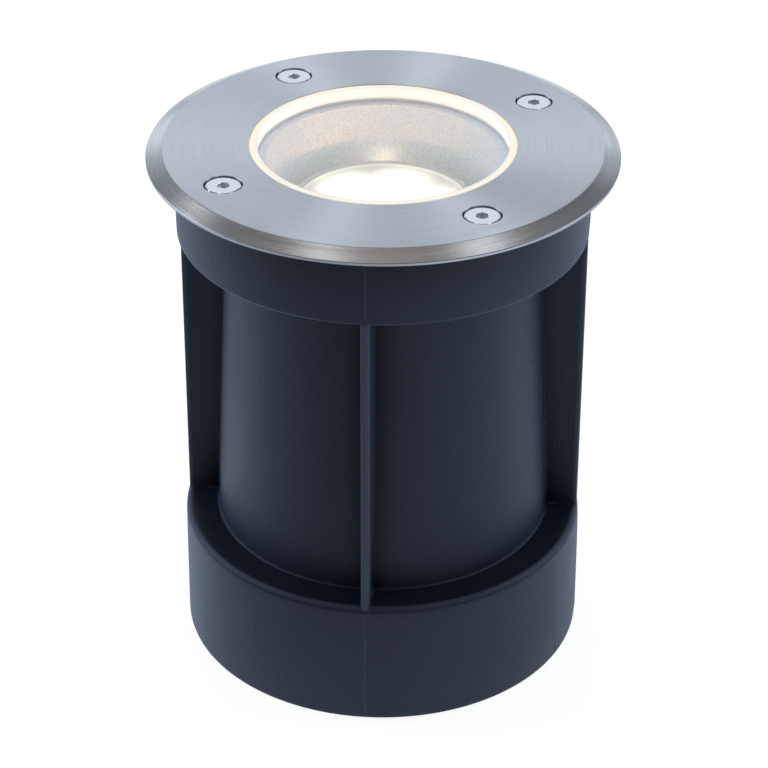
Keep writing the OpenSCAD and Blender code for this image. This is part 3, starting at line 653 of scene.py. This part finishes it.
def over_skirt(r):
    """The height of the skirt's ledge and its rounded edge."""
    d = np.clip(r - (SKIRT_R - SKIRT_EDGE), 0, SKIRT_EDGE)
    return SKIRT_H - SKIRT_EDGE + np.sqrt(SKIRT_EDGE**2 - d**2)


def under_collar(r):
    """The height of the collar's underside and its rounded edge."""
    d = np.clip(r - (COLLAR_LOW_R - COLLAR_EDGE), 0, COLLAR_EDGE)
    return COLLAR_Z + COLLAR_EDGE - np.sqrt(COLLAR_EDGE**2 - d**2)


def outward(outline):
    """The radius of each point of an outline, and its direction from the axis."""
    r = np.hypot(outline[:, 0], outline[:, 1])
    return r, outline / r[:, None]


def spread(outline, flat_r, edge, height, flat_steps, edge_steps):
    """Rings from an outline out over a flat and its rounded edge."""
    r, way = outward(outline)
    on_edge = np.arcsin(np.clip((r - flat_r) / edge, 0, 1))
    steps = flat_steps + edge_steps
    rings = []
    for j in range(1, steps + 1):
        if j <= flat_steps:
            reach = r + (flat_r - r) * j / flat_steps
        else:
            reach = flat_r + edge * math.sin((j - flat_steps) / edge_steps * math.pi / 2)
        # A point that starts on the rounded edge, at a rib's nose, only goes down it
        late = flat_r + edge * np.sin(on_edge + (math.pi / 2 - on_edge) * j / steps)
        reach = np.where(r < flat_r, reach, late)
        rings.append(np.column_stack([way * reach[:, None], height(reach)]))
    return rings


def seam(way, height):
    """How far the fine line of the mould's parting, on the ribs' planes, stands out in each direction."""
    side = np.degrees(np.arctan2(way[:, 1], way[:, 0]))
    off = np.abs(side % (360 / RIB_COUNT) - 180 / RIB_COUNT)
    return height * np.exp(-((off / SEAM_HALF) ** 2))


def round_rings(way, levels, seam_height=0.0):
    """Rings round the axis at levels of (radius, height), or of (radius, height, share of the seam)."""
    line = seam(way, seam_height)
    rings = []
    for r, z, *lift in levels:
        reach = r + line * sum(lift)
        rings.append(np.column_stack([way * reach[:, None], np.full(len(way), z)]))
    return rings


def sleeve_rings():
    """The moulding's whole skin, from the skirt's foot up the outside and down the inside."""
    flare = []
    for i in range(FLARE_STEPS + 1):
        a = math.pi / 2 * i / FLARE_STEPS
        flare.append((FLARE * (1 - math.cos(a)), FLARE * (1 - math.sin(a))))
    low = [section(SKIRT_H + h, off) for h, off in flare]
    high = [section(COLLAR_Z - h, off) for h, off in reversed(flare)]
    low_r, low_way = outward(low[0])
    high_r, high_way = outward(high[-1])
    ledge, under = over_skirt(low_r), under_collar(high_r)

    wall = [np.column_stack([ring, ledge + h]) for (h, off), ring in zip(flare, low)]
    for t in WALL_SHARES:
        ring = section(SKIRT_H + FLARE + (COLLAR_Z - SKIRT_H - 2 * FLARE) * t)
        wall.append(np.column_stack([ring, ledge + FLARE + (under - ledge - 2 * FLARE) * t]))
    wall += [np.column_stack([ring, under - h]) for (h, off), ring in zip(reversed(flare), high)]

    skirt = [
        (SKIRT_BASE_R - 0.42, 0.0, 0.0),
        (SKIRT_BASE_R - 0.13, 0.13, 0.2),
        (SKIRT_BASE_R - 0.03, 0.45, 0.8),
        (SKIRT_BASE_R - 0.02, 1.2, 1.0),
        (SKIRT_R + 0.28, 12.0, 1.0),
        (SKIRT_R + 0.15, 24.0, 1.0),
        (SKIRT_R + 0.05, 33.0, 0.6),
    ]
    collar = [
        (COLLAR_LOW_R + 0.03, COLLAR_Z + 3, 0.7),
        (COLLAR_LOW_R + 0.07, COLLAR_Z + 6, 1.0),
        (COLLAR_R - 0.07, SLEEVE_H - 3.9, 1.0),
    ]
    rim = [
        (COLLAR_R - 0.05, SLEEVE_H - 0.35),
        (COLLAR_R - 0.17, SLEEVE_H - 0.1),
        (COLLAR_R - 0.45, SLEEVE_H),
    ]
    bore_r, shelf_z = COLLAR_LOW_R - SLEEVE_WALL, COLLAR_Z + SLEEVE_WALL
    neck_r, mouth_r = TUBE_TOP_R - SLEEVE_WALL, TUBE_BASE_R - SLEEVE_WALL
    bore = [
        (bore_r + 0.3, SLEEVE_H),
        (bore_r + 0.08, SLEEVE_H - 0.1),
        (bore_r, SLEEVE_H - 0.35),
        (bore_r, shelf_z + 0.8),
        (bore_r - 0.25, shelf_z + 0.2),
        (bore_r - 0.85, shelf_z),
        (neck_r + 0.7, shelf_z),
        (neck_r + 0.2, shelf_z - 0.15),
        (neck_r + 0.05, shelf_z - 0.5),
    ]
    roof_z, foot_r = SKIRT_H - SLEEVE_WALL, SKIRT_BASE_R - SLEEVE_WALL
    hollow = [
        (mouth_r - 0.05, roof_z + 1.6),
        (mouth_r + 0.1, roof_z + 0.3),
        (mouth_r + 0.5, roof_z),
        (foot_r - 1.1, roof_z),
        (foot_r - 0.6, roof_z - 0.2),
        (foot_r - 0.4, roof_z - 0.8),
        (foot_r, 0.3),
        (foot_r + 0.2, 0.0),
    ]
    rings = round_rings(low_way, skirt, SKIRT_SEAM)
    rings += spread(low[0], SKIRT_R - SKIRT_EDGE, SKIRT_EDGE, over_skirt, 4, 7)[::-1]
    rings += wall
    rings += spread(high[-1], COLLAR_LOW_R - COLLAR_EDGE, COLLAR_EDGE, under_collar, 4, 5)
    rings += round_rings(high_way, collar, COLLAR_SEAM)
    rings += round_rings(high_way, rim + bore)
    rings += round_rings(low_way, hollow)
    return rings


def from_rib(x, y):
    """A point's radius, its angle from the nearest rib, and its places along that rib and beside it."""
    r = math.hypot(x, y)
    off = math.radians(abs(math.degrees(math.atan2(y, x)) % (360 / RIB_COUNT) - 180 / RIB_COUNT))
    return r, off, r * math.cos(off), r * math.sin(off)


def on_foot_line(r, along, z):
    """Whether a point is on the fine line round the tube's foot, where a highlight is painted."""
    return 0.02 < z - SKIRT_H < 0.05 and r < TUBE_BASE_R + 3.6 and along < rib_r(z) - 1


def on_wall(r, z):
    """Whether a point is on the tube or a rib, clear of the ledge and the collar."""
    return SKIRT_H + 0.1 < z < COLLAR_Z - 0.1 and r > tube_r(z) - 0.5


def on_nose(along, beside, z):
    """Whether a point is on a rib's outer edge."""
    return along > rib_r(z) - RIB_NOSE and beside < RIB_HALF + 0.05


def on_collar(r, z):
    """Whether a point is on the collar's outside."""
    return z > COLLAR_Z + 0.5 and r > COLLAR_LOW_R - 0.65


def sleeve_painted_highlight(x, y, z):
    """How much highlight is painted on the sleeve: a pale seam line, and highlights on the collar's foot,
    the skirt's lip, the tube's foot, the ribs' noses and the collar's low part.
    """
    r, off, along, beside = from_rib(x, y)
    if off < SEAM_PALE and r > COLLAR_LOW_R - 0.25 and not SEAM_END_Z < z < SEAM_START_Z:
        return 0.6
    if r > COLLAR_LOW_R - 0.7 and COLLAR_Z < z < COLLAR_Z + 0.7 and off > 0.03:
        return 0.3
    if SKIRT_R - 1.6 < r < SKIRT_R - 0.1 and SKIRT_H - 1.1 < z < SKIRT_H - 0.1:
        return 0.5
    if on_foot_line(r, along, z):
        return 1.0
    if on_wall(r, z):
        return 0.8 if on_nose(along, beside, z) else 0.0
    if on_collar(r, z):
        return 0.1 * share((COLLAR_Z + 12 - z) / 8)
    return 0.0


def wall_painted_shade(along, beside, z):
    """How much shade is painted on the tube and the ribs: most at the ribs' roots and under the collar."""
    if on_nose(along, beside, z):
        return 0.0
    up_rib = along - tube_r(z) - 0.8
    if beside < RIB_HALF + 0.5 and up_rib > 0:
        deep = 0.12 + 0.6 * math.exp(-up_rib / 1.8)
    else:
        deep = 0.85 * math.exp(-max(0.0, beside - RIB_HALF) / 4.0)
    under = 0.5 * math.exp(-(COLLAR_Z - z) / 3.0)
    return max(deep, under) if along < rib_r(z) - RIB_NOSE else deep


def sleeve_painted_shade(x, y, z):
    """How much shade is painted on the sleeve: in its recesses, which little light reaches, on the ledge by
    the tube's foot, and on the collar's top.
    """
    r, _, along, beside = from_rib(x, y)
    if on_foot_line(r, along, z):
        return 0.0
    if abs(z - SKIRT_H) < 0.02 and r > TUBE_BASE_R:
        return 0.4
    if on_wall(r, z):
        return wall_painted_shade(along, beside, z)
    if on_collar(r, z):
        return 0.5 * share((z - COLLAR_Z - 8) / 12)
    return 0.0


def sleeve():
    me = skin("sleeve", sleeve_rings(), closed=True)
    # Painted highlights and painted shade, for the material to read
    paint(me, "painted_highlight", sleeve_painted_highlight)
    paint(me, "deep", sleeve_painted_shade)
    piece("sleeve_moulding", me, "ground_sleeve", "mounting_sleeve", "sleeve_plastic")


# Cover
def trim_ring():
    """The ring, with a countersink for each screw that shows as a dark gap round its head, and painted
    shade on the countersinks' walls.
    """
    outline = [
        (OPENING_R, RING_BASE),
        (RING_R, RING_BASE),
        (RING_R, RING_SIDE_TOP),
        (FLAT_R, RING_TOP),
        (OPENING_R, RING_TOP),
    ]
    profile = rounded(outline, [0.15, 0.2, 0.25, 0.9, 0.12], steps=6, hold=0.12)
    ring = lathe("ring", profile, RING_STEPS, closed=True)
    sink = [
        (0, RING_BASE - CUT_PAST),
        (SINK_BORE_R, RING_BASE - CUT_PAST),
        (SINK_BORE_R, RING_BASE + 0.1),
        (SINK_R, RING_TOP - 0.45),
        (SINK_R + 0.1, RING_TOP - 0.05),
        (SINK_RIM_R, RING_TOP + 0.05),
        (SINK_RIM_R, RING_TOP + CUT_PAST),
        (0, RING_TOP + CUT_PAST),
    ]
    sinks = [placed(lathe("sink", sink, SINK_STEPS), SCREW_CIRCLE_R, a) for a in SCREW_ANGLES]
    centres = [(SCREW_CIRCLE_R * math.cos(a), SCREW_CIRCLE_R * math.sin(a)) for a in SCREW_ANGLES]

    def sink_shade_share(x, y, z):
        near = min(math.hypot(x - cx, y - cy) for cx, cy in centres)
        return share((RING_TOP - 0.03 - z) / 0.2) if near < SINK_RIM_R + 0.03 else 0.0

    me = cut(ring, joined("sinks", sinks))
    paint(me, "deep", sink_shade_share)
    piece("trim_ring_turned", me, "cover", "trim_ring", "trim_steel", sharp=30)


def cover_screws():
    """Four countersunk screws, each with its hexagon socket turned its own way."""
    top, tip = SCREW_TOP, SCREW_TOP - SCREW_L
    outline = [
        (0, tip),
        (SHANK_R - SHANK_CHAMFER, tip),
        (SHANK_R, tip + SHANK_CHAMFER),
        (SHANK_R, top - HEAD_H),
        (HEAD_R, top - HEAD_BAND_LOW),
        (HEAD_R, top - HEAD_BAND_TOP),
        (HEAD_FACE_R, top),
        (0, top),
    ]
    profile = rounded(outline, [0, 0.1, 0.1, 0.4, 0.03, 0.04, 0.05, 0], hold=0.05)
    screw = lathe("screw", profile, SCREW_STEPS)
    socket = [
        (0, top - SOCKET_DEPTH - 0.05),
        (SOCKET_R - 0.032, top - SOCKET_DEPTH),
        (SOCKET_R, top - 0.12),
        (SOCKET_R + 0.368, top + 0.25),
        (0, top + 0.25),
    ]

    def in_socket(x, y, z):
        return float(math.hypot(x, y) < SOCKET_R + 0.068 and top - SOCKET_DEPTH - 0.3 < z < top - 0.3)

    screw = cut(screw, placed(lathe("socket", socket, 6), spin=SOCKET_TURN))
    paint(screw, "deep", in_socket)
    screws = [placed(screw.copy(), SCREW_CIRCLE_R, a, spin) for a, spin in zip(SCREW_ANGLES, SCREW_SPINS)]
    piece("cover_screws_turned", joined("screws", screws), "cover", "cover_screws", "screw_steel", sharp=30)


def glass_pane():
    outline = [
        (0, GLASS_BASE),
        (GLASS_R, GLASS_BASE),
        (GLASS_R, GLASS_STEP_Z),
        (GLASS_NECK_R, GLASS_STEP_Z),
        (GLASS_NECK_R, GLASS_TOP),
        (0, GLASS_TOP),
    ]
    me = lathe("glass", rounded(outline, [0, 0.3, 0.3, 0.15, 0.1, 0], steps=3), GLASS_STEPS)
    piece("glass_pane", me, "cover", "glass", "clear_glass", sharp=50)


def gasket():
    """Its bore is bonded to the glass, a hair inside the glass's edge."""
    bore_r = GLASS_NECK_R - 0.03
    outline = [
        (bore_r, RING_TOP - 0.06),
        (GLASS_NECK_R + 0.9, RING_TOP - 0.09),
        (LIP_R, RING_TOP - 0.14),
        (LIP_R, RING_BASE),
        (GASKET_R, RING_BASE),
        (GASKET_R, GASKET_BASE),
        (bore_r, GASKET_BASE),
    ]
    me = lathe("gasket", rounded(outline, [0.05, 0, 0.3, 0, 0.4, 0.4, 0.2]), GLASS_STEPS, closed=True)
    piece("gasket_moulding", me, "cover", "glass_gasket", "silicone")


# Lamp
def lamp_rim():
    base, bore_r = BEZEL_TOP - BEZEL_H, BEZEL_R - BEZEL_WALL
    outline = [(bore_r - 0.05, base), (BEZEL_R, base), (BEZEL_R, BEZEL_TOP), (bore_r, BEZEL_TOP)]
    profile = rounded(outline, [0.2, 0.3, 0.35, 0.25], steps=5, hold=0.08)
    me = lathe("rim", profile, LAMP_STEPS, closed=True)
    piece("lamp_rim", me, "lamp", "lamp_bezel", "bezel_aluminium")


def lamp_lens():
    """A clear front with a dome over each light source."""
    leds = [(0.0, 0.0)] + arc(0.0, 0.0, LED_CIRCLE_R, 0, 300, 5)

    def to_led(x, y):
        return min(math.hypot(x - cx, y - cy) for cx, cy in leds)

    def lit(x, y, z):
        return share((LIT_REACH - to_led(x, y)) / LIT_FADE) ** 1.1

    rings = 40
    rows = []
    for i in range(rings + 1):
        flat = circle(LENS_R * i / rings, LENS_TOP, LAMP_STEPS)
        rows.append([(x, y, z + DOME_H * max(0.0, 1 - (to_led(x, y) / DOME_R) ** 2)) for x, y, z in flat])
    rows += [circle(LENS_R, LENS_BASE, LAMP_STEPS), circle(0, LENS_BASE, LAMP_STEPS)]
    me = skin("lens", rows)
    paint(me, "lit", lit)
    piece("lamp_front", me, "lamp", "lamp_lens", "lamp_optic")


sleeve()
trim_ring()
cover_screws()
glass_pane()
gasket()
lamp_rim()
lamp_lens()


# Studio
def direction(azimuth, elevation):
    """The way out from the object at an azimuth and an elevation in degrees."""
    a, e = math.radians(azimuth), math.radians(elevation)
    return Vector((math.sin(a) * math.cos(e), -math.cos(a) * math.cos(e), math.sin(e)))


def aim(o, azimuth, elevation, distance, roll=0.0):
    """Places an object so that it looks at the target."""
    way = direction(azimuth, elevation)
    turn = way.to_track_quat("Z", "Y").to_matrix().to_4x4()
    o.matrix_world = Matrix.Translation(TARGET + distance * way) @ turn @ Matrix.Rotation(roll, 4, "Z")


def photo_camera():
    cam = bpy.data.cameras.new("camera")
    cam.sensor_width = SENSOR_WIDTH
    cam.lens = FOCAL_PIXELS / PHOTO_WIDTH * SENSOR_WIDTH
    cam.shift_x = SHIFT_PIXELS / PHOTO_WIDTH
    cam.clip_start = 0.01
    camera = put("camera", cam)
    aim(camera, CAMERA_AZIMUTH, CAMERA_ELEVATION, CAMERA_DISTANCE, math.radians(CAMERA_ROLL))
    bpy.context.scene.camera = camera


def floor_finish(n):
    """Grey to lamps, white to the camera, and to reflections a painted glow, dark round one point and
    bright in pools.
    """
    glossy = n.path("Glossy")
    tone = n.span(n.distance((0.068, -0.188, 0.0)), 0.03, 0.25, 0.3, 0.85)
    # Each painted pool of light in reflections: its centre, how far from there it ends and is full, and its
    # strength
    for centre, end, full, strength in (
        ((0.246, 0.042, 0.0), 0.24, 0.02, 0.45),
        ((0.066, -0.056, 0.0), 0.085, 0.03, 0.5),
        ((-0.06, -0.07, 0.0), 0.13, 0.03, 0.45),
    ):
        tone = n.math("ADD", tone, n.span(n.distance(centre), end, full, 0.0, strength))
    seen = n.math("MULTIPLY", n.math("MAXIMUM", n.path("Camera"), n.path("Transmission")), 0.86)
    level = n.math("ADD", seen, n.math("MULTIPLY", glossy, tone))
    tint = n.mix(glossy, (1.0, 1.0, 1.0), (0.8, 0.89, 1.0))
    base = n.shader(Base_Color=(0.5, 0.5, 0.5), Roughness=1.0, Specular_IOR_Level=0.0)
    glow = n.add("ShaderNodeEmission", {"Color": tint, "Strength": level}).outputs[0]
    n.out(n.add("ShaderNodeAddShader", {0: base, 1: glow}).outputs[0])


def studio_floor():
    half, z = 3.0, -0.0002
    me = bpy.data.meshes.new("studio_floor")
    corners = [(-half, -half, z), (half, -half, z), (half, half, z), (-half, half, z)]
    me.from_pydata(corners, [], [(0, 1, 2, 3)])
    me.materials.append(material("floor", floor_finish))
    floor = put("studio_floor", me)


def studio_world():
    """White to the camera, and a soft sky to all else, bluer low down and warmer overhead."""
    world = bpy.data.worlds.new("studio")
    bpy.context.scene.world = world
    world.use_nodes = True
    n = Nodes(world.node_tree)
    white = n.add("ShaderNodeBackground", {"Color": (1.0, 1.0, 1.0), "Strength": 1.0}).outputs[0]
    up = n.add("ShaderNodeTexCoord").outputs["Generated"]
    height = n.add("ShaderNodeSeparateXYZ", {0: up}).outputs[2]
    sky = n.mix(n.span(height, 0.45, 0.95), (0.78, 0.89, 1.0), (1.0, 0.94, 0.9))
    level = n.math("ADD", 0.22, n.math("MULTIPLY", n.path("Transmission"), 0.1))
    soft = n.add("ShaderNodeBackground", {"Color": sky, "Strength": level}).outputs[0]
    seen = n.add("ShaderNodeMixShader", {0: n.path("Camera"), 1: soft, 2: white}).outputs[0]
    n.add("ShaderNodeOutputWorld", {"Surface": seen})


# Soft lamps: name, degrees right of the camera, elevation, distance, width and height, power, colour
SOFTBOXES = [
    ("left_box", -105, 22, 1.1, (0.7, 1.1), 5.0, (0.66, 0.81, 1.0)),
    ("right_box", 100, 22, 1.1, (0.7, 1.1), 3.6, (0.66, 0.82, 1.0)),
    ("back_box", 180, 28, 1.3, (0.95, 0.64), 1.5, (0.8, 0.89, 1.0)),
    ("back_side_left", -157, 11.5, 1.23, (0.24, 0.3), 0.17, (0.84, 0.91, 1.0)),
    ("back_side_right", 157, 11.5, 1.23, (0.24, 0.3), 0.12, (0.84, 0.91, 1.0)),
    ("back_mid_left", -151, 23, 1.2, (0.2, 0.34), 0.062, (0.84, 0.91, 1.0)),
    ("back_mid_right", 151, 23, 1.2, (0.22, 0.4), 0.08, (0.84, 0.91, 1.0)),
    ("back_left_box", -136.5, 44.7, 1.25, (0.05, 0.16), 0.06, (0.97, 0.98, 1.0)),
    ("front_box", 38, 8, 1.5, (0.6, 0.9), 1.5, (0.7, 0.84, 1.0)),
    ("top_box", 165, 82, 1.2, (0.3, 0.2), 0.04, (1.0, 0.95, 0.9)),
    ("over_left_box", -138, 74.3, 1.26, (0.15, 0.2), 0.1, (0.94, 0.97, 1.0)),
    ("over_right_box", 131, 67.4, 1.26, (0.28, 0.2), 0.175, (0.88, 0.94, 1.0)),
]


def softbox(name, azimuth, elevation, distance, size, power, color):
    """A soft lamp that looks at the object."""
    light = bpy.data.lights.new(name, "AREA")
    light.shape = "RECTANGLE"
    light.size, light.size_y = size
    light.energy = power
    light.color = color
    aim(put(name, light), CAMERA_AZIMUTH + azimuth, elevation, distance)


def small_lamp(name, kind, power, color, radius):
    """One of the two small lamps that light the well for the object's own lamp."""
    light = bpy.data.lights.new(name, kind)
    light.energy = power
    light.color = color
    light.shadow_soft_size = radius * MM
    return put(name, light)


def well_lamps():
    led = small_lamp("led_light", "SPOT", 0.0177, (1.0, 0.45, 0.1), 1.5)
    led.data.spot_size = math.radians(LED_CONE)
    led.data.spot_blend = 0.04
    led.matrix_world = Matrix.Translation((0, 0, LED_LIGHT_Z * MM)) @ Matrix.Rotation(math.pi, 4, "X")
    # The glare on the well's far wall, just over the bezel
    stray = small_lamp("led_stray", "POINT", 0.0008, (1.0, 0.68, 0.42), 0.6)
    stray.location = Vector((0, 0, STRAY_Z * MM)) - direction(CAMERA_AZIMUTH, 0) * STRAY_OUT * MM
    stray.visible_camera = stray.visible_glossy = stray.visible_transmission = False


photo_camera()
studio_floor()
studio_world()
for box in SOFTBOXES:
    softbox(*box)
well_lamps()

bpy.context.scene.view_settings.view_transform = "Standard"
